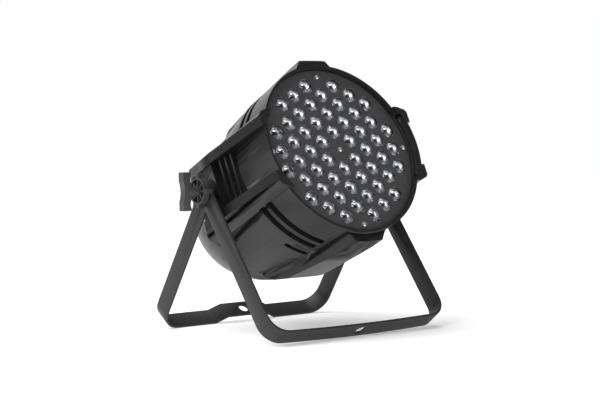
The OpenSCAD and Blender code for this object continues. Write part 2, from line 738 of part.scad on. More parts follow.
module dmx_in_pins() {
    color([0.8, 0.8, 0.82]) on_rear(socket_spots[1])
        for (a = pin_angles) rotate([0, 0, a]) translate([4.6, 0, 2 - socket_depth]) {
            cylinder(r = 1.2, h = 10.5);
            translate([0, 0, 10.5]) sphere(r = 1.2, $fn = 32);
        }
}
module dmx_out() {
    color([0.12, 0.12, 0.12]) on_rear(socket_spots[2]) difference() {
        socket_shell(7);
        for (a = pin_angles) rotate([0, 0, a]) translate([4.2, 0, 2 - socket_depth]) cylinder(r = 1.35, h = socket_depth);
        translate([-release_w / 2 - 0.4, -flange_r - 1, -1.9]) cube([release_w + 0.8, flange_r - cup_in_r + 1.1, 5]);
    }
}
module dmx_release() {
    color([0.6, 0.6, 0.62]) on_rear(socket_spots[2])
        translate([-release_w / 2, -flange_r + 0.6, -0.6]) cube([release_w, 2.6, 3.8]);
}
module fuse_holder() {
    color([0.1, 0.1, 0.1]) on_rear(fuse_spot) difference() {
        union() {
            cylinder(r = 7.6, h = 1.5);
            translate([0, 0, -24]) cylinder(r = 6, h = 24 + eps);
        }
        translate([0, 0, -22]) cylinder(r = 4.2, h = 30);
    }
}
module fuse_link() {
    color([0.8, 0.85, 0.9, 0.5]) on_rear(fuse_spot) translate([0, 0, -21.8]) cylinder(r = 2.6, h = 20);
}
module fuse_cap() {
    color([0.12, 0.12, 0.12]) on_rear(fuse_spot) difference() {
        union() {
            translate([0, 0, 1.6]) cylinder(r1 = 6.2, r2 = 5.6, h = 5);
            translate([0, 0, -1.5]) cylinder(r = 4.1, h = 3.2);
        }
        translate([-7, -0.6, 5.2]) cube([14, 1.2, 2]);
    }
}

// ---------- safety eye ----------
eye_angle = 48;
eye_z = -42;
eye_half = 10;
eye_rod = 2;
module at_eye() {
    in_head() rotate([0, 0, eye_angle]) translate([0, 0, eye_z]) rotate([0, 90, 0]) children();
}
module safety_eye() {
    color([0.75, 0.75, 0.77]) at_eye() {
        for (s = [-1, 1]) translate([s * eye_half, 0, 84]) cylinder(r = eye_rod, h = 24);
        translate([0, 0, 108]) rotate([90, 0, 0]) rotate_extrude(angle = 180) translate([eye_half, 0]) circle(r = eye_rod);
    }
}
module safety_nuts() {
    color([0.75, 0.75, 0.77]) at_eye()
        for (s = [-1, 1]) translate([s * eye_half, 0, 90]) difference() {
            cylinder(r = 4, h = 3.2, $fn = 6);
            translate([0, 0, -1]) cylinder(r = eye_rod + 0.02, h = 6);
        }
}
front_yoke();
rear_yoke();
housing();
pivot_insert_l();
pivot_insert_r();
friction_washer_l();
friction_washer_r();
clamp_washer_l();
clamp_washer_r();
knob_l();
knob_r();
knob_stud_l();
knob_stud_r();
face_plate();
face_screws();
lenses();
lens_holders();
led_board();
led_emitters();
heat_sink();
heat_sink_screws();
fan_frame();
fan_rotor();
fan_screws();
chassis_plate();
chassis_screws();
power_supply();
driver_board();
led_wiring();
mains_wiring();
signal_wiring();
rear_cover();
rear_screws();
control_board();
display();
display_window();
menu_button_1();
menu_button_2();
menu_button_3();
menu_button_4();
power_in();
power_out();
power_in_contacts();
power_out_contacts();
dmx_in();
dmx_in_pins();
dmx_out();
dmx_release();
fuse_holder();
fuse_cap();
fuse_link();
safety_eye();
safety_nuts();
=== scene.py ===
import json
import math

import bpy
from bpy.props import FloatProperty, FloatVectorProperty, IntProperty, PointerProperty
from mathutils import Matrix, Vector


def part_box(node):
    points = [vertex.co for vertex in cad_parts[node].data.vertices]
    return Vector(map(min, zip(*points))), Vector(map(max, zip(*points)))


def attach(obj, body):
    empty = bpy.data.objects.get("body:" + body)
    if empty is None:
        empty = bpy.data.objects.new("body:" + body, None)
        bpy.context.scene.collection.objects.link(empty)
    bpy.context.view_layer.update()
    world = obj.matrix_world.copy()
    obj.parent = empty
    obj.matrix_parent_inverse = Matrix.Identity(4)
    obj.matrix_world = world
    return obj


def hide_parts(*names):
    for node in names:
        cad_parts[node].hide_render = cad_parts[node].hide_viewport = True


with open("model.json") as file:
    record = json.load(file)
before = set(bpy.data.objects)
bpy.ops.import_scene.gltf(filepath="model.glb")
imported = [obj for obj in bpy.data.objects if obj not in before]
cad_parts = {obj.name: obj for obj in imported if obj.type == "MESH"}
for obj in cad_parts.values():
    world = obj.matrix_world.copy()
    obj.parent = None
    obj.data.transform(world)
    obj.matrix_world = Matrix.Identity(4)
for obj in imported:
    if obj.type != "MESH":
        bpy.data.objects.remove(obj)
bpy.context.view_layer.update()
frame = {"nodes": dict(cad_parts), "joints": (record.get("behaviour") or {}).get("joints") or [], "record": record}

bl_info = {
    "name": "LED Par Can Light",
    "version": (1, 0, 0),
    "blender": (4, 5, 0),
    "location": "3D View > Sidebar > Par Can",
    "description": "Builds the visible pieces, finishes and studio stage of a par can light",
    "category": "Add Mesh",
}

MM = 0.001
NODES = frame["nodes"]
JOINTS = {joint["name"]: joint for joint in frame["joints"]}
SLOT_OF = {part["node"]: part["material_slot"] for part in frame["record"]["subparts"]}
BODY_OF = {
    node: body
    for body, members in frame["record"]["behaviour"]["bodies"].items()
    for node in members
}

# The head's own axes: X to the right, Y up along the face, Z out of the face, origin at the pivot.
PIVOT = Vector(JOINTS["head_tilt"]["pos_m"])
FACE_AXIS = Vector(JOINTS["fan_spin"]["axis"])
FACE_UP = FACE_AXIS.cross(Vector((1, 0, 0)))
HEAD_TURN = Matrix((Vector((1, 0, 0)), FACE_UP, FACE_AXIS)).transposed()
HEAD = Matrix.Translation(PIVOT) @ HEAD_TURN.to_4x4()
LENS_RINGS = 4

SOFT_EDGE_ANGLE = 30  # degrees: sharper edges of a softened copy are rounded
FACET_ANGLE = 12  # degrees: the facets of a reflector cup stay sharp
SHARP_ANGLE = 40  # degrees: sharper edges of a modelled piece stay sharp
ROUND = 48  # segments round a hole or an arm's end
FLAT_ANGLE = 0.5  # degrees: flatter neighbours are one face
SAME_POINT = 0.002 * MM
SMALL_GAP = 0.01 * MM
CAST_EDGE, KNOB_EDGE, PANEL_EDGE, SHELL_EDGE = 0.7 * MM, 1.6 * MM, 0.35 * MM, 0.3 * MM
DRILL_SPARE = 20 * MM  # how far a drill reaches past its strip

CAMERA_RIGHT = Vector((0.7923, -0.6098, -0.0216))
CAMERA_UP = Vector((0.0438, 0.0215, 0.9988))
SENSOR_WIDTH = 36
FLOOR_SIZE = 8
SKY_DIRECTION = Vector((0.42, -0.38, -1))
SKY_ENERGY = 2.8
SKY_ANGLE = math.radians(70)
# name, place, width in metres, power in watts
SOFTBOXES = (
    ("key_left", (-1.5, -0.75, 0.75), 0.6, 9),
    ("front_right", (0.9, -1.9, 0.2), 0.8, 7),
    ("back_wall", (0.45, 2.2, 0.85), 1.6, 8),
)

DUST_COLOUR = (0.32, 0.31, 0.30, 1)
DUST_ROUGHNESS = 0.4
RELIEF_DEPTH = 0.1 * MM


# ---------- sizes and colours ----------
class ParCanStage(bpy.types.PropertyGroup):
    camera_from_pivot: FloatVectorProperty(
        name="Camera from pivot", description="Where the camera stands, measured from the pivot",
        default=(-1.1912, -1.5658, 0.0691), subtype="TRANSLATION", unit="LENGTH")
    focal_length: FloatProperty(
        name="Focal length",
        description="Focal length of the camera on a 36 mm sensor, in millimetres",
        default=94.6, min=20.0)
    backdrop: FloatVectorProperty(
        name="Backdrop", description="Colour of the floor and the studio around it",
        default=(0.92, 0.92, 0.92), subtype="COLOR", min=0.0, max=1.0)
    table_glow: FloatProperty(
        name="Table glow", description="Light from under the translucent table top",
        default=0.32, min=0.0)
    fill: FloatProperty(
        name="Fill", description="Brightness of the even light around the object",
        default=0.24, min=0.0)


class ParCanFinish(bpy.types.PropertyGroup):
    cast_colour: FloatVectorProperty(
        name="Casting", description="Colour of the coated casting",
        default=(0.011, 0.011, 0.0115), subtype="COLOR", min=0.0, max=1.0)
    yoke_colour: FloatVectorProperty(
        name="Yokes", description="Colour of the coated steel yokes",
        default=(0.022, 0.022, 0.023), subtype="COLOR", min=0.0, max=1.0)
    plate_colour: FloatVectorProperty(
        name="Face plate", description="Colour of the matt face plate",
        default=(0.050, 0.050, 0.052), subtype="COLOR", min=0.0, max=1.0)
    knob_colour: FloatVectorProperty(
        name="Knobs", description="Colour of the moulded hand knobs",
        default=(0.050, 0.050, 0.052), subtype="COLOR", min=0.0, max=1.0)
    coat_grain: FloatProperty(
        name="Coat grain", description="Size of the powder coat's fine texture",
        default=0.55 * MM, min=0.05 * MM, unit="LENGTH")


class ParCanYokes(bpy.types.PropertyGroup):
    width: FloatProperty(
        name="Strip width", description="Width of the steel strip",
        default=25 * MM, min=10 * MM, unit="LENGTH")
    thickness: FloatProperty(
        name="Strip thickness", description="Thickness of the steel strip",
        default=3 * MM, min=1 * MM, unit="LENGTH")
    bend_radius: FloatProperty(
        name="Bend radius", description="Outside radius of the bends",
        default=25 * MM, min=5 * MM, unit="LENGTH")
    front_reach: FloatProperty(
        name="Front reach",
        description="From the pivot to the outside of the front crossbar's middle",
        default=212 * MM, min=150 * MM, unit="LENGTH")
    rear_reach: FloatProperty(
        name="Rear reach", description="From the pivot to the outside of the rear crossbar",
        default=206.5 * MM, min=150 * MM, unit="LENGTH")
    front_splay: FloatProperty(
        name="Front splay", description="Angle of the front yoke from straight down",
        default=math.radians(37), subtype="ANGLE")
    sag: FloatProperty(
        name="Sag", description="How far the front crossbar bows outwards at its middle",
        default=2 * MM, min=0.0, unit="LENGTH")
    joggle: FloatProperty(
        name="Joggle", description="How far the middle of the rear crossbar steps inwards",
        default=8.5 * MM, min=0.0, unit="LENGTH")
    flat_half: FloatProperty(
        name="Joggle flat", description="Half the length of the raised flat of the rear crossbar",
        default=30 * MM, min=10 * MM, unit="LENGTH")
    slope: FloatProperty(
        name="Joggle slope", description="Length of each slope up to the raised flat",
        default=16 * MM, min=5 * MM, unit="LENGTH")
    clamp_hole: FloatProperty(
        name="Clamp hole", description="Diameter of the hole for a hook clamp",
        default=13 * MM, min=5 * MM, unit="LENGTH")
    bolt_radius: FloatProperty(
        name="Stud hole radius", description="Radius of the hole for the knob's stud",
        default=4.05 * MM, min=2 * MM, unit="LENGTH")
    edge: FloatProperty(
        name="Edge rounding", description="How far the strip's edges are broken",
        default=0.45 * MM, min=0.1 * MM, unit="LENGTH")


class ParCanOptics(bpy.types.PropertyGroup):
    pitch: FloatProperty(
        name="Lens pitch", description="Distance between neighbouring lenses",
        default=24.5 * MM, min=20 * MM, unit="LENGTH")
    diameter: FloatProperty(
        name="Lens diameter", description="Diameter of one lens",
        default=18.4 * MM, min=10 * MM, unit="LENGTH")
    dome_height: FloatProperty(
        name="Dome height", description="How far a lens stands out of the face plate",
        default=4.4 * MM, min=1 * MM, unit="LENGTH")
    foot: FloatProperty(
        name="Lens foot", description="How far a lens reaches into the face plate",
        default=2.6 * MM, min=1 * MM, unit="LENGTH")
    shell: FloatProperty(
        name="Lens thickness", description="Thickness of the domed lens",
        default=1.3 * MM, min=0.5 * MM, unit="LENGTH")
    plate_height: FloatProperty(
        name="Plate height", description="From the pivot to the front of the face plate",
        default=106 * MM, min=50 * MM, unit="LENGTH")
    cup_depth: FloatProperty(
        name="Cup depth", description="Depth of a reflector cup with its barrel",
        default=17.2 * MM, min=5 * MM, unit="LENGTH")
    bowl_depth: FloatProperty(
        name="Bowl depth", description="Depth of a cup's bright bowl",
        default=5 * MM, min=2 * MM, unit="LENGTH")
    throat: FloatProperty(
        name="Throat", description="Radius of the hole at the bottom of a bowl",
        default=4.8 * MM, min=2 * MM, unit="LENGTH")
    cup_facets: IntProperty(
        name="Cup facets", description="Flat facets round a bowl", default=16, min=8, max=64)
    facets: IntProperty(
        name="Lens segments", description="Segments round one lens", default=40, min=16, max=64)


# ---------- working with objects ----------
def deselect():
    if bpy.context.object and bpy.context.object.mode != "OBJECT":
        bpy.ops.object.mode_set(mode="OBJECT")
    bpy.ops.object.select_all(action="DESELECT")


def activate(obj):
    deselect()
    obj.select_set(True)
    bpy.context.view_layer.objects.active = obj
    return obj


def new_piece(name):
    """The primitive that was just added, renamed."""
    obj = bpy.context.object
    obj.name = name
    obj.data.name = name
    return obj


def edit(obj, mode="VERT"):
    activate(obj)
    bpy.ops.object.mode_set(mode="EDIT")
    bpy.ops.mesh.select_mode(type=mode)
    bpy.ops.mesh.select_all(action="DESELECT")


def done():
    bpy.ops.object.mode_set(mode="OBJECT")


def pick_edges(obj, test):
    """Selects, in edit mode, the edges whose two ends pass the test."""
    bpy.ops.object.mode_set(mode="OBJECT")
    points = obj.data.vertices
    for edge in obj.data.edges:
        edge.select = test(points[edge.vertices[0]].co, points[edge.vertices[1]].co)
    bpy.ops.object.mode_set(mode="EDIT")


def modify(obj, kind, **values):
    """Adds one modifier with its values and applies it."""
    activate(obj)
    modifier = obj.modifiers.new(kind.title(), kind)
    for name, value in values.items():
        setattr(modifier, name, value)
    bpy.ops.object.modifier_apply(modifier=modifier.name)


def place(obj, matrix):
    """Moves a piece that was modelled at the origin to its place, kept in its mesh."""
    activate(obj)
    obj.matrix_world = matrix
    bpy.ops.object.transform_apply(location=True, rotation=True, scale=True)
    return obj


def copy_of(obj, name):
    activate(obj)
    bpy.ops.object.duplicate(linked=False)
    return new_piece(name)


def join(pieces, name):
    deselect()
    for piece in pieces:
        piece.select_set(True)
    bpy.context.view_layer.objects.active = pieces[0]
    bpy.ops.object.join()
    return new_piece(name)


def smooth(obj, angle):
    activate(obj)
    bpy.ops.object.shade_smooth_by_angle(angle=math.radians(angle))


def stands_for(piece, *nodes, dressed=False):
    """The piece rides and is shown in place of these nodes; an undressed one gets its finish."""
    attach(piece, BODY_OF[nodes[0]])
    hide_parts(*nodes)
    if not dressed:
        finish(piece, SLOT_OF[nodes[0]])


def softened(node, name, width, segments=2):
    """A copy of a node with its loose triangles joined up and its sharp edges rounded."""
    NODES[node].hide_viewport = False
    piece = copy_of(NODES[node], name)
    for key in list(piece.keys()):
        del piece[key]
    piece.parent = None
    edit(piece)
    bpy.ops.mesh.select_all(action="SELECT")
    bpy.ops.mesh.remove_doubles(threshold=SAME_POINT)
    bpy.ops.mesh.dissolve_limited(angle_limit=math.radians(FLAT_ANGLE))
    done()
    smooth(piece, SOFT_EDGE_ANGLE)
    modify(piece, "BEVEL", width=width, segments=segments, limit_method="ANGLE",
           angle_limit=math.radians(SOFT_EDGE_ANGLE), use_clamp_overlap=True, harden_normals=True)
    return piece


# ---------- node building ----------
def add_node(tree, kind, at, **values):
    node = tree.nodes.new(kind)
    node.location = at
    for name, value in values.items():
        setattr(node, name, value)
    return node


def link(tree, source, output, target, entry):
    tree.links.new(source.outputs[output], target.inputs[entry])


def new_group(name, inputs, outputs):
    group = bpy.data.node_groups.new(name, "ShaderNodeTree")
    for label, kind, value in inputs:
        socket = group.interface.new_socket(name=label, in_out="INPUT", socket_type=kind)
        socket.default_value = value
    for label, kind in outputs:
        group.interface.new_socket(name=label, in_out="OUTPUT", socket_type=kind)
    start = add_node(group, "NodeGroupInput", (-900, 0))
    end = add_node(group, "NodeGroupOutput", (700, 0))
    return group, start, end


def maths(tree, operation, at, first, second=None, clamp=False):
    """A Math node fed by two (node, output) pairs or plain numbers."""
    node = add_node(tree, "ShaderNodeMath", at, operation=operation, use_clamp=clamp)
    for index, value in enumerate((first, second)):
        if value is None:
            continue
        if isinstance(value, tuple):
            link(tree, value[0], value[1], node, index)
        else:
            node.inputs[index].default_value = value
    return node


def coat_group():
    """A sprayed or moulded skin: uneven sheen, faint colour drift and a fine orange-peel height."""
    group, start, end = new_group(
        "Coat", [("Colour", "NodeSocketColor", (0.02, 0.02, 0.02, 1)),
                 ("Roughness", "NodeSocketFloat", 0.45), ("Unevenness", "NodeSocketFloat", 0.08),
                 ("Grain scale", "NodeSocketFloat", 1800.0), ("Drift", "NodeSocketFloat", 0.25)],
        [("Colour", "NodeSocketColor"), ("Roughness", "NodeSocketFloat"),
         ("Height", "NodeSocketFloat")])
    place_on = add_node(group, "ShaderNodeTexCoord", (-900, -300))
    grain = add_node(group, "ShaderNodeTexNoise", (-600, -300))
    grain.inputs["Detail"].default_value = 3
    link(group, place_on, "Object", grain, "Vector")
    link(group, start, "Grain scale", grain, "Scale")
    cloud = add_node(group, "ShaderNodeTexNoise", (-600, -60))
    cloud.inputs["Scale"].default_value = 22
    cloud.inputs["Detail"].default_value = 5
    link(group, place_on, "Object", cloud, "Vector")
    centred = maths(group, "SUBTRACT", (-400, 0), (cloud, "Fac"), 0.5)
    sheen = maths(group, "MULTIPLY", (-220, 60), (centred, 0), None)
    link(group, start, "Unevenness", sheen, 1)
    fine = maths(group, "SUBTRACT", (-400, -200), (grain, "Fac"), 0.5)
    fine_sheen = maths(group, "MULTIPLY_ADD", (-40, -40), (fine, 0), 0.12)
    link(group, sheen, 0, fine_sheen, 2)
    rough = maths(group, "ADD", (160, 0), (fine_sheen, 0), None, clamp=True)
    link(group, start, "Roughness", rough, 1)
    drift = maths(group, "MULTIPLY", (-220, 220), (centred, 0), None)
    link(group, start, "Drift", drift, 1)
    gain = maths(group, "ADD", (-40, 220), (drift, 0), 1.0)
    tint = add_node(group, "ShaderNodeVectorMath", (160, 220), operation="SCALE")
    link(group, start, "Colour", tint, 0)
    link(group, gain, 0, tint, "Scale")
    link(group, tint, 0, end, "Colour")
    link(group, rough, 0, end, "Roughness")
    link(group, grain, "Fac", end, "Height")
    return group


def dust_group():
    """Fine dust on upward faces: a mask that the materials lighten and roughen by."""
    group, start, end = new_group(
        "Dust", [("Amount", "NodeSocketFloat", 0.1)], [("Mask", "NodeSocketFloat")])
    shape = add_node(group, "ShaderNodeNewGeometry", (-700, 200))
    split = add_node(group, "ShaderNodeSeparateXYZ", (-520, 200))
    link(group, shape, "Normal", split, 0)
    upward = add_node(group, "ShaderNodeMapRange", (-340, 200))
    upward.inputs["From Min"].default_value = 0.2
    link(group, split, "Z", upward, "Value")
    place_on = add_node(group, "ShaderNodeTexCoord", (-700, -100))
    speck = add_node(group, "ShaderNodeTexNoise", (-520, -100))
    speck.inputs["Scale"].default_value = 420
    speck.inputs["Detail"].default_value = 6
    link(group, place_on, "Object", speck, "Vector")
    sparse = add_node(group, "ShaderNodeMapRange", (-340, -100))
    sparse.inputs["From Min"].default_value = 0.45
    sparse.inputs["From Max"].default_value = 0.75
    link(group, speck, "Fac", sparse, "Value")
    both = maths(group, "MULTIPLY", (-100, 80), (upward, 0), (sparse, 0))
    scaled = maths(group, "MULTIPLY", (100, 80), (both, 0), None, clamp=True)
    link(group, start, "Amount", scaled, 1)
    link(group, scaled, 0, end, "Mask")
    return group


GROUPS = {}
MATERIALS = {}


def shared(name, build):
    if name not in GROUPS:
        GROUPS[name] = build()
    return GROUPS[name]


def new_material(name):
    material = bpy.data.materials.new(name)
    material.use_nodes = True
    shader = material.node_tree.nodes["Principled BSDF"]
    shader.location = (600, 0)
    return material, material.node_tree, shader


def coated(name, colour, roughness, unevenness=0.08, grain=1800.0, bump=0.12, drift=0.25,
           metallic=0.0, dust=0.12, coat=0.0, specular=0.5):
    """A coated or moulded surface: the Coat group, a little dust and a fine bump."""
    material, tree, shader = new_material(name)
    coat_node = add_node(tree, "ShaderNodeGroup", (-300, 0), node_tree=shared("coat", coat_group))
    coat_node.inputs["Colour"].default_value = (*colour, 1)
    coat_node.inputs["Roughness"].default_value = roughness
    coat_node.inputs["Unevenness"].default_value = unevenness
    coat_node.inputs["Grain scale"].default_value = grain
    coat_node.inputs["Drift"].default_value = drift
    dust_node = add_node(tree, "ShaderNodeGroup", (-300, -300),
                         node_tree=shared("dust", dust_group))
    dust_node.inputs["Amount"].default_value = dust
    mix = add_node(tree, "ShaderNodeMix", (200, 100), data_type="RGBA")
    link(tree, dust_node, "Mask", mix, "Factor")
    tree.links.new(coat_node.outputs["Colour"], mix.inputs[6])
    mix.inputs[7].default_value = DUST_COLOUR
    tree.links.new(mix.outputs[2], shader.inputs["Base Color"])
    dulled = maths(tree, "MULTIPLY_ADD", (200, -120), (dust_node, "Mask"), DUST_ROUGHNESS)
    link(tree, coat_node, "Roughness", dulled, 2)
    link(tree, dulled, 0, shader, "Roughness")
    relief = add_node(tree, "ShaderNodeBump", (200, -320))
    relief.inputs["Strength"].default_value = bump
    relief.inputs["Distance"].default_value = RELIEF_DEPTH
    link(tree, coat_node, "Height", relief, "Height")
    link(tree, relief, "Normal", shader, "Normal")
    shader.inputs["Metallic"].default_value = metallic
    shader.inputs["Coat Weight"].default_value = coat
    shader.inputs["Specular IOR Level"].default_value = specular
    return material


def clear(name, colour, roughness, ior, transmission=1.0):
    """Clear or tinted plastic or glass, with faint surface haze."""
    material, tree, shader = new_material(name)
    place_on = add_node(tree, "ShaderNodeTexCoord", (-600, 0))
    haze = add_node(tree, "ShaderNodeTexNoise", (-400, 0))
    haze.inputs["Scale"].default_value = 300
    link(tree, place_on, "Object", haze, "Vector")
    spread = add_node(tree, "ShaderNodeMapRange", (-100, 0))
    spread.inputs["To Min"].default_value = roughness
    spread.inputs["To Max"].default_value = roughness + 0.04
    link(tree, haze, "Fac", spread, "Value")
    link(tree, spread, 0, shader, "Roughness")
    shader.inputs["Base Color"].default_value = (*colour, 1)
    shader.inputs["IOR"].default_value = ior
    shader.inputs["Transmission Weight"].default_value = transmission
    return material


def finish_for(slot):
    """The material of one of the record's slots."""
    values = bpy.context.scene.parcan_finish
    grain = 1 / values.coat_grain
    if slot == "cast_black":
        return coated("Cast black coat", tuple(values.cast_colour), 0.38, 0.10, grain, 0.10,
                      coat=0.06, specular=0.38)
    if slot == "yoke_steel":
        return coated("Yoke coat", tuple(values.yoke_colour), 0.50, 0.08, grain, 0.14,
                      specular=0.42)
    if slot == "face_black":
        return coated("Matt plate coat", tuple(values.plate_colour), 0.42, 0.06, grain * 1.4, 0.16,
                      dust=0.3)
    if slot == "knob_plastic":
        return coated("Knob nylon", tuple(values.knob_colour), 0.46, 0.05, 2600, 0.10)
    if slot == "zinc_steel":
        return coated("Zinc plate", (0.74, 0.74, 0.75), 0.26, 0.12, 900, 0.05, 0.15,
                      metallic=0.85, dust=0.02)
    if slot == "raw_aluminium":
        return coated("Bare aluminium", (0.70, 0.71, 0.73), 0.36, 0.15, 700, 0.10, 0.15,
                      metallic=1.0)
    if slot == "mirror_cup":
        return coated("Vacuum-coated cup", (0.70, 0.70, 0.71), 0.14, 0.10, 500, 0.08, 0.1,
                      metallic=1.0, dust=0)
    if slot == "contact_brass":
        return coated("Plated contact", (0.80, 0.60, 0.28), 0.25, 0.1, 1500, 0.05, metallic=1.0)
    if slot == "pin_silver":
        return coated("Silver pin", (0.85, 0.85, 0.84), 0.18, 0.08, 1500, 0.04, metallic=1.0)
    if slot == "lens_clear":
        return clear("Clear lens", (0.97, 0.98, 1.0), 0.01, 1.49)
    if slot == "window_smoke":
        return clear("Smoked window", (0.25, 0.27, 0.27), 0.04, 1.49, 0.7)
    if slot == "fuse_glass":
        return clear("Fuse glass", (0.92, 0.96, 0.96), 0.02, 1.5)
    plain = {
        "fibre_washer": ((0.03, 0.03, 0.03), 0.8), "holder_black": ((0.02, 0.02, 0.02), 0.5),
        "board_white": ((0.78, 0.78, 0.75), 0.4), "led_yellow": ((0.16, 0.15, 0.09), 0.25),
        "board_green": ((0.02, 0.12, 0.05), 0.35), "wire_red": ((0.45, 0.02, 0.02), 0.45),
        "wire_blue": ((0.05, 0.10, 0.42), 0.45), "wire_grey": ((0.16, 0.16, 0.16), 0.45),
        "display_dark": ((0.03, 0.05, 0.04), 0.3), "button_black": ((0.035, 0.035, 0.037), 0.55),
        "socket_blue": ((0.02, 0.06, 0.30), 0.38), "socket_grey": ((0.30, 0.31, 0.33), 0.4),
        "socket_black": ((0.022, 0.022, 0.023), 0.42),
    }
    colour, roughness = plain[slot]
    return coated(slot.replace("_", " ").title(), colour, roughness, grain=2200)


def material_for(slot):
    if slot not in MATERIALS:
        MATERIALS[slot] = finish_for(slot)
    return MATERIALS[slot]


def finish(piece, slot):
    piece.data.materials.clear()
    piece.data.materials.append(material_for(slot))


# ---------- pieces ----------
def lens_spots(pitch):
    """Middles of the lenses in the head's axes: a hexagon without its middle and its corners."""
    spots = []
    for row in range(-LENS_RINGS, LENS_RINGS + 1):
        for column in range(-LENS_RINGS, LENS_RINGS + 1):
            ring = max(abs(row), abs(column), abs(row + column))
            corner = ring == LENS_RINGS and row * column * (row + column) == 0
            if 0 < ring <= LENS_RINGS and not corner:
                spots.append(Vector((column * math.sqrt(3) / 2, row + column / 2)) * pitch)
    return spots


def repeat(piece, spots, height, name):
    """Copies of a piece at each spot of the face, joined into one object and put in the head."""
    copies = [piece]
    for spot in spots[1:]:
        twin = copy_of(piece, name)
        place(twin, Matrix.Translation((spot.x, spot.y, height)))
        copies.append(twin)
    place(piece, Matrix.Translation((spots[0].x, spots[0].y, height)))
    return place(join(copies, name), HEAD)


class PARCAN_OT_stage(bpy.types.Operator):
    """Lay the floor, light the studio and set the camera"""
    bl_idname = "parcan.stage"
    bl_label = "Stage"

    def execute(self, context):
        values = context.scene.parcan_stage
        deselect()
        bpy.ops.mesh.primitive_plane_add(size=FLOOR_SIZE, location=(0, 0, 0))
        floor = new_piece("floor")
        material, tree, shader = new_material("Studio floor")
        shader.inputs["Base Color"].default_value = (*values.backdrop, 1)
        shader.inputs["Roughness"].default_value = 0.9
        shader.inputs["Specular IOR Level"].default_value = 0.1
        shader.inputs["Emission Color"].default_value = (1, 1, 1, 1)
        shader.inputs["Emission Strength"].default_value = values.table_glow
        floor.data.materials.append(material)
        context.scene.world = self.studio_air(values)
        bpy.ops.object.light_add(type="SUN", location=(-1, 1, 3))
        sky = context.object
        sky.name = "sky"
        sky.data.energy = SKY_ENERGY
        sky.data.angle = SKY_ANGLE
        sky.rotation_euler = SKY_DIRECTION.to_track_quat("-Z", "Y").to_euler()
        for name, at, size, power in SOFTBOXES:
            bpy.ops.object.light_add(type="AREA", location=at)
            lamp = context.object
            lamp.name = name
            lamp.data.size = size
            lamp.data.energy = power
            lamp.rotation_euler = (PIVOT - Vector(at)).to_track_quat("-Z", "Y").to_euler()
            lamp.visible_camera = False
        eye = PIVOT + Vector(values.camera_from_pivot)
        bpy.ops.object.camera_add(location=eye)
        camera = context.object
        axes = Matrix((CAMERA_RIGHT, CAMERA_UP, CAMERA_RIGHT.cross(CAMERA_UP)))
        camera.matrix_world = Matrix.Translation(eye) @ axes.transposed().to_4x4()
        camera.data.lens = values.focal_length
        camera.data.sensor_width = SENSOR_WIDTH
        context.scene.camera = camera
        context.scene.view_settings.view_transform = "Standard"
        return {"FINISHED"}

    @staticmethod
    def studio_air(values):
        """A white backdrop that throws only a little light of its own onto the object."""
        world = bpy.data.worlds.new("Studio")
        world.use_nodes = True
        tree = world.node_tree
        seen = tree.nodes["Background"]
        seen.inputs["Color"].default_value = (1, 1, 1, 1)
        fill = add_node(tree, "ShaderNodeBackground", (0, -200))
        fill.inputs["Strength"].default_value = values.fill
        path = add_node(tree, "ShaderNodeLightPath", (-300, 200))
        mix = add_node(tree, "ShaderNodeMixShader", (300, 0))
        link(tree, path, "Is Camera Ray", mix, 0)
        link(tree, fill, 0, mix, 1)
        link(tree, seen, 0, mix, 2)
        link(tree, mix, 0, tree.nodes["World Output"], 0)
        return world


class PARCAN_OT_casting(bpy.types.Operator):
    """Round the casting's edges and give it its black coat"""
    bl_idname = "parcan.casting"
    bl_label = "Casting"

    def execute(self, context):
        piece = softened("housing", "housing_casting", CAST_EDGE)
        stands_for(piece, "housing")
        return {"FINISHED"}


def bent_half(name, half_w, reach, bend_r, path):
    """Half of a strip yoke as a sheet through the middle of its thickness: arm, bend, crossbar."""
    strip = bpy.context.scene.parcan_yokes
    x = half_w - strip.thickness / 2
    radius = bend_r - strip.thickness / 2
    foot = -(reach - bend_r)
    deselect()
    upright = (0, math.pi / 2, 0)
    bpy.ops.mesh.primitive_plane_add(size=1, rotation=upright, location=(x, 0, foot / 2))
    arm = new_piece(name)
    arm.scale = (-foot, strip.width, 1)
    bpy.ops.object.transform_apply(location=True, rotation=True, scale=True)
    bpy.ops.mesh.primitive_circle_add(vertices=ROUND, radius=strip.width / 2, fill_type="NGON",
                                      rotation=upright, location=(x, 0, 0))
    eye = new_piece(name + "_eye")
    bpy.ops.object.transform_apply(location=True, rotation=True, scale=True)
    edit(eye)
    bpy.ops.mesh.select_all(action="SELECT")
    bpy.ops.mesh.bisect(plane_co=(x, 0, 0), plane_no=(0, 0, 1), clear_inner=True)
    done()
    join([arm, eye], name)
    edit(arm, "EDGE")
    pick_edges(arm, lambda a, b: max(a.z, b.z) < foot + SMALL_GAP)
    bpy.ops.mesh.spin(steps=10, angle=-math.pi / 2, center=(x - radius, 0, foot), axis=(0, 1, 0))
    for here, there in zip(path, path[1:]):
        bpy.ops.mesh.extrude_region_move(
            TRANSFORM_OT_translate={"value": (there[0] - here[0], 0, there[1] - here[1])})
    bpy.ops.mesh.select_all(action="SELECT")
    bpy.ops.mesh.remove_doubles(threshold=SMALL_GAP)
    done()
    return arm


def drilled(piece, radius, depth, at, turn):
    """Cuts one round hole and leaves its edge clean."""
    deselect()
    bpy.ops.mesh.primitive_cylinder_add(vertices=ROUND, radius=radius, depth=depth,
                                        location=at, rotation=turn)
    cutter = new_piece("cutter")
    modify(piece, "BOOLEAN", operation="DIFFERENCE", object=cutter, solver="EXACT")
    activate(cutter)
    bpy.ops.object.delete()


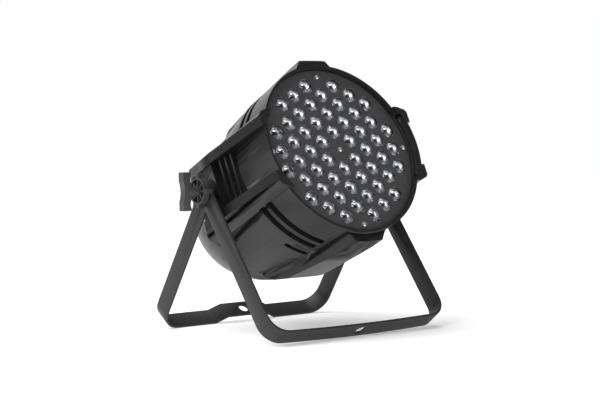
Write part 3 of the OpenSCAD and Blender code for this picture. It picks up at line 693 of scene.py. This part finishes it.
class PARCAN_OT_yokes(bpy.types.Operator):
    """Bend both yokes from flat strip, with round arm ends and drilled holes"""
    bl_idname = "parcan.yokes"
    bl_label = "Yokes"

    def execute(self, context):
        strip = context.scene.parcan_yokes
        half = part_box("front_yoke")[1].x
        self.bend("front_yoke", half, strip.front_reach, strip.front_splay,
                  self.sagging(half, strip))
        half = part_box("rear_yoke")[1].x
        arm = math.hypot(strip.rear_reach, strip.width / 2)
        splay = math.acos(PIVOT.z / arm) + math.atan2(strip.width / 2, strip.rear_reach)
        self.bend("rear_yoke", half, strip.rear_reach, -splay, self.joggled(half, strip))
        return {"FINISHED"}

    @staticmethod
    def sagging(half_w, strip):
        """The front crossbar dips a little towards its middle."""
        end = half_w - strip.bend_radius
        steps = 6
        return [(end * (1 - step / steps), -strip.sag * (1 - (1 - step / steps) ** 2))
                for step in range(steps + 1)]

    @staticmethod
    def joggled(half_w, strip):
        """The middle of the rear crossbar steps inwards."""
        end = half_w - strip.bend_radius
        return [(end, 0), (strip.flat_half + strip.slope, 0),
                (strip.flat_half, strip.joggle), (0, strip.joggle)]

    def bend(self, node, half_w, reach, splay, path):
        strip = bpy.context.scene.parcan_yokes
        straight = reach - (strip.sag if node == "front_yoke" else 0)
        piece = bent_half(node + "_strip", half_w, straight, strip.bend_radius, path)
        modify(piece, "MIRROR", use_axis=(True, False, False), merge_threshold=SMALL_GAP)
        edit(piece, "FACE")
        bpy.ops.mesh.select_all(action="SELECT")
        bpy.ops.mesh.normals_make_consistent(inside=False)
        done()
        modify(piece, "SOLIDIFY", thickness=strip.thickness, offset=0, use_even_offset=True)
        turn = (0, math.pi / 2, 0)
        drilled(piece, strip.bolt_radius, 2 * half_w + DRILL_SPARE, (0, 0, 0), turn)
        middle = -straight + path[-1][1]
        drilled(piece, strip.clamp_hole / 2, DRILL_SPARE, (0, 0, middle), (0, 0, 0))
        modify(piece, "BEVEL", width=strip.edge, segments=2, limit_method="ANGLE",
               angle_limit=math.radians(SHARP_ANGLE), use_clamp_overlap=True)
        smooth(piece, 35)
        place(piece, Matrix.Translation(PIVOT) @ Matrix.Rotation(-splay, 4, "X"))
        stands_for(piece, node)


class PARCAN_OT_knobs(bpy.types.Operator):
    """Round the edges of the two hand knobs"""
    bl_idname = "parcan.knobs"
    bl_label = "Hand knobs"

    def execute(self, context):
        for side in ("l", "r"):
            piece = softened("knob_" + side, "hand_knob_" + side, KNOB_EDGE, segments=3)
            stands_for(piece, "knob_" + side)
        return {"FINISHED"}


def turned(name, profile, segments, ring=False):
    """A turned solid: a circle extruded and resized along (radius, height) pairs, then capped.

    A ring is closed by joining its last circle to its first; otherwise both ends are capped."""
    deselect()
    radius, height = profile[0]
    bpy.ops.mesh.primitive_circle_add(vertices=segments, radius=radius, location=(0, 0, height),
                                      fill_type="NOTHING" if ring else "NGON")
    piece = new_piece(name)
    bpy.ops.object.transform_apply(location=True, rotation=True, scale=True)
    edit(piece, "EDGE")
    bpy.ops.mesh.select_all(action="SELECT")
    for (from_r, from_z), (to_r, to_z) in zip(profile, profile[1:]):
        bpy.ops.mesh.extrude_region_move(TRANSFORM_OT_translate={"value": (0, 0, to_z - from_z)})
        bpy.ops.transform.resize(value=(to_r / from_r, to_r / from_r, 1))
    bpy.ops.mesh.select_all(action="SELECT")
    bpy.ops.mesh.remove_doubles(threshold=SAME_POINT)
    bpy.ops.mesh.normals_make_consistent(inside=False)
    done()
    return piece


class PARCAN_OT_lenses(bpy.types.Operator):
    """Turn one domed lens with its foot and copy it over the face"""
    bl_idname = "parcan.lenses"
    bl_label = "Lenses"

    def execute(self, context):
        values = context.scene.parcan_optics
        radius = values.diameter / 2
        rise = values.dome_height
        ball = (radius ** 2 + rise ** 2) / (2 * rise)
        steps = 8
        crowding = 1.3  # rings lie closer together at the lens's edge
        outer, inner = [], []
        for step in range(steps):
            across = radius * (1 - (step / steps) ** crowding)
            lift = math.sqrt(ball ** 2 - across ** 2) - ball + rise
            outer.append((across, lift))
            inner.append((across * (1 - values.shell / radius), lift - values.shell))
        foot = [(radius - values.shell, -values.foot), (radius, -values.foot)]
        lens = turned("lens", inner[::-1] + foot + outer, values.facets)
        smooth(lens, SHARP_ANGLE)
        lenses = repeat(lens, lens_spots(values.pitch), values.plate_height, "lens_array")
        stands_for(lenses, "lenses")
        return {"FINISHED"}


class PARCAN_OT_reflectors(bpy.types.Operator):
    """Turn one bright reflector cup and copy it behind every lens"""
    bl_idname = "parcan.reflectors"
    bl_label = "Reflector cups"

    def execute(self, context):
        values = context.scene.parcan_optics
        depth, bowl_depth = values.cup_depth, values.bowl_depth
        clearance, wall, seat = 0.4 * MM, 0.6 * MM, 1.5 * MM
        mouth, throat = values.diameter / 2 - clearance, values.throat
        steps = 6
        flare = 0.55  # the bowl widens fast at its throat, then more slowly
        bowl = []
        for step in range(steps + 1):
            part = step / steps
            across = throat + (mouth - throat) * part ** flare
            bowl.append((across, depth - bowl_depth * (1 - part)))
        outside = [(mouth + wall, depth), (mouth + wall, depth - bowl_depth),
                   (throat + seat, 0), (throat, 0)]
        cup = turned("cup", bowl + outside + bowl[:1], values.cup_facets, ring=True)
        smooth(cup, FACET_ANGLE)
        cup.data.materials.append(material_for(SLOT_OF["lens_holders"]))
        cup.data.materials.append(material_for("mirror_cup"))
        for face in cup.data.polygons:
            inward = face.center.x * face.normal.x + face.center.y * face.normal.y < 0
            face.material_index = int(inward and face.center.z > depth - bowl_depth)
        height = values.plate_height - values.foot - depth
        cups = repeat(cup, lens_spots(values.pitch), height, "reflector_cups")
        stands_for(cups, "lens_holders", dressed=True)
        return {"FINISHED"}


class PARCAN_OT_details(bpy.types.Operator):
    """Round the edges of the moulded and machined small parts"""
    bl_idname = "parcan.details"
    bl_label = "Small parts"

    def execute(self, context):
        for node in ("face_plate", "rear_cover"):
            stands_for(softened(node, node + "_panel", PANEL_EDGE), node)
        for node in ("power_in", "power_out", "dmx_in", "dmx_out",
                     "fuse_holder", "fuse_cap", "dmx_release"):
            stands_for(softened(node, node + "_shell", SHELL_EDGE), node)
        for number in range(1, 5):
            node = "menu_button_" + str(number)
            stands_for(softened(node, node + "_cap", PANEL_EDGE, segments=3), node)
        return {"FINISHED"}


class PARCAN_OT_finishes(bpy.types.Operator):
    """Give every piece that keeps its own shape its finish"""
    bl_idname = "parcan.finishes"
    bl_label = "Finishes"

    def execute(self, context):
        for name, node in NODES.items():
            if not node.hide_render:
                finish(node, SLOT_OF[name])
        return {"FINISHED"}


class PARCAN_PT_sidebar(bpy.types.Panel):
    """Lists the sizes and the pieces of the light"""
    bl_label = "Par Can Light"
    bl_idname = "PARCAN_PT_sidebar"
    bl_space_type = "VIEW_3D"
    bl_region_type = "UI"
    bl_category = "Par Can"

    def draw(self, context):
        column = self.layout.column(align=True)
        for group, _ in SETTINGS:
            settings = getattr(context.scene, group)
            for name in settings.bl_rna.properties.keys():
                if name not in ("rna_type", "name"):
                    column.prop(settings, name)
        for operator in OPERATORS:
            column.operator(operator.bl_idname)


SETTINGS = (
    ("parcan_stage", ParCanStage), ("parcan_yokes", ParCanYokes),
    ("parcan_finish", ParCanFinish), ("parcan_optics", ParCanOptics),
)
OPERATORS = (
    PARCAN_OT_stage, PARCAN_OT_casting, PARCAN_OT_yokes, PARCAN_OT_knobs,
    PARCAN_OT_lenses, PARCAN_OT_reflectors, PARCAN_OT_details, PARCAN_OT_finishes,
)


def register():
    for name, group in SETTINGS:
        bpy.utils.register_class(group)
        setattr(bpy.types.Scene, name, PointerProperty(type=group))
    for operator in OPERATORS:
        bpy.utils.register_class(operator)
    bpy.utils.register_class(PARCAN_PT_sidebar)


def unregister():
    bpy.utils.unregister_class(PARCAN_PT_sidebar)
    for operator in reversed(OPERATORS):
        bpy.utils.unregister_class(operator)
    for name, group in reversed(SETTINGS):
        delattr(bpy.types.Scene, name)
        bpy.utils.unregister_class(group)


def main():
    register()
    bpy.ops.parcan.stage()
    bpy.ops.parcan.casting()
    bpy.ops.parcan.yokes()
    bpy.ops.parcan.knobs()
    bpy.ops.parcan.lenses()
    bpy.ops.parcan.reflectors()
    bpy.ops.parcan.details()
    bpy.ops.parcan.finishes()


if __name__ == "__main__":
    main()
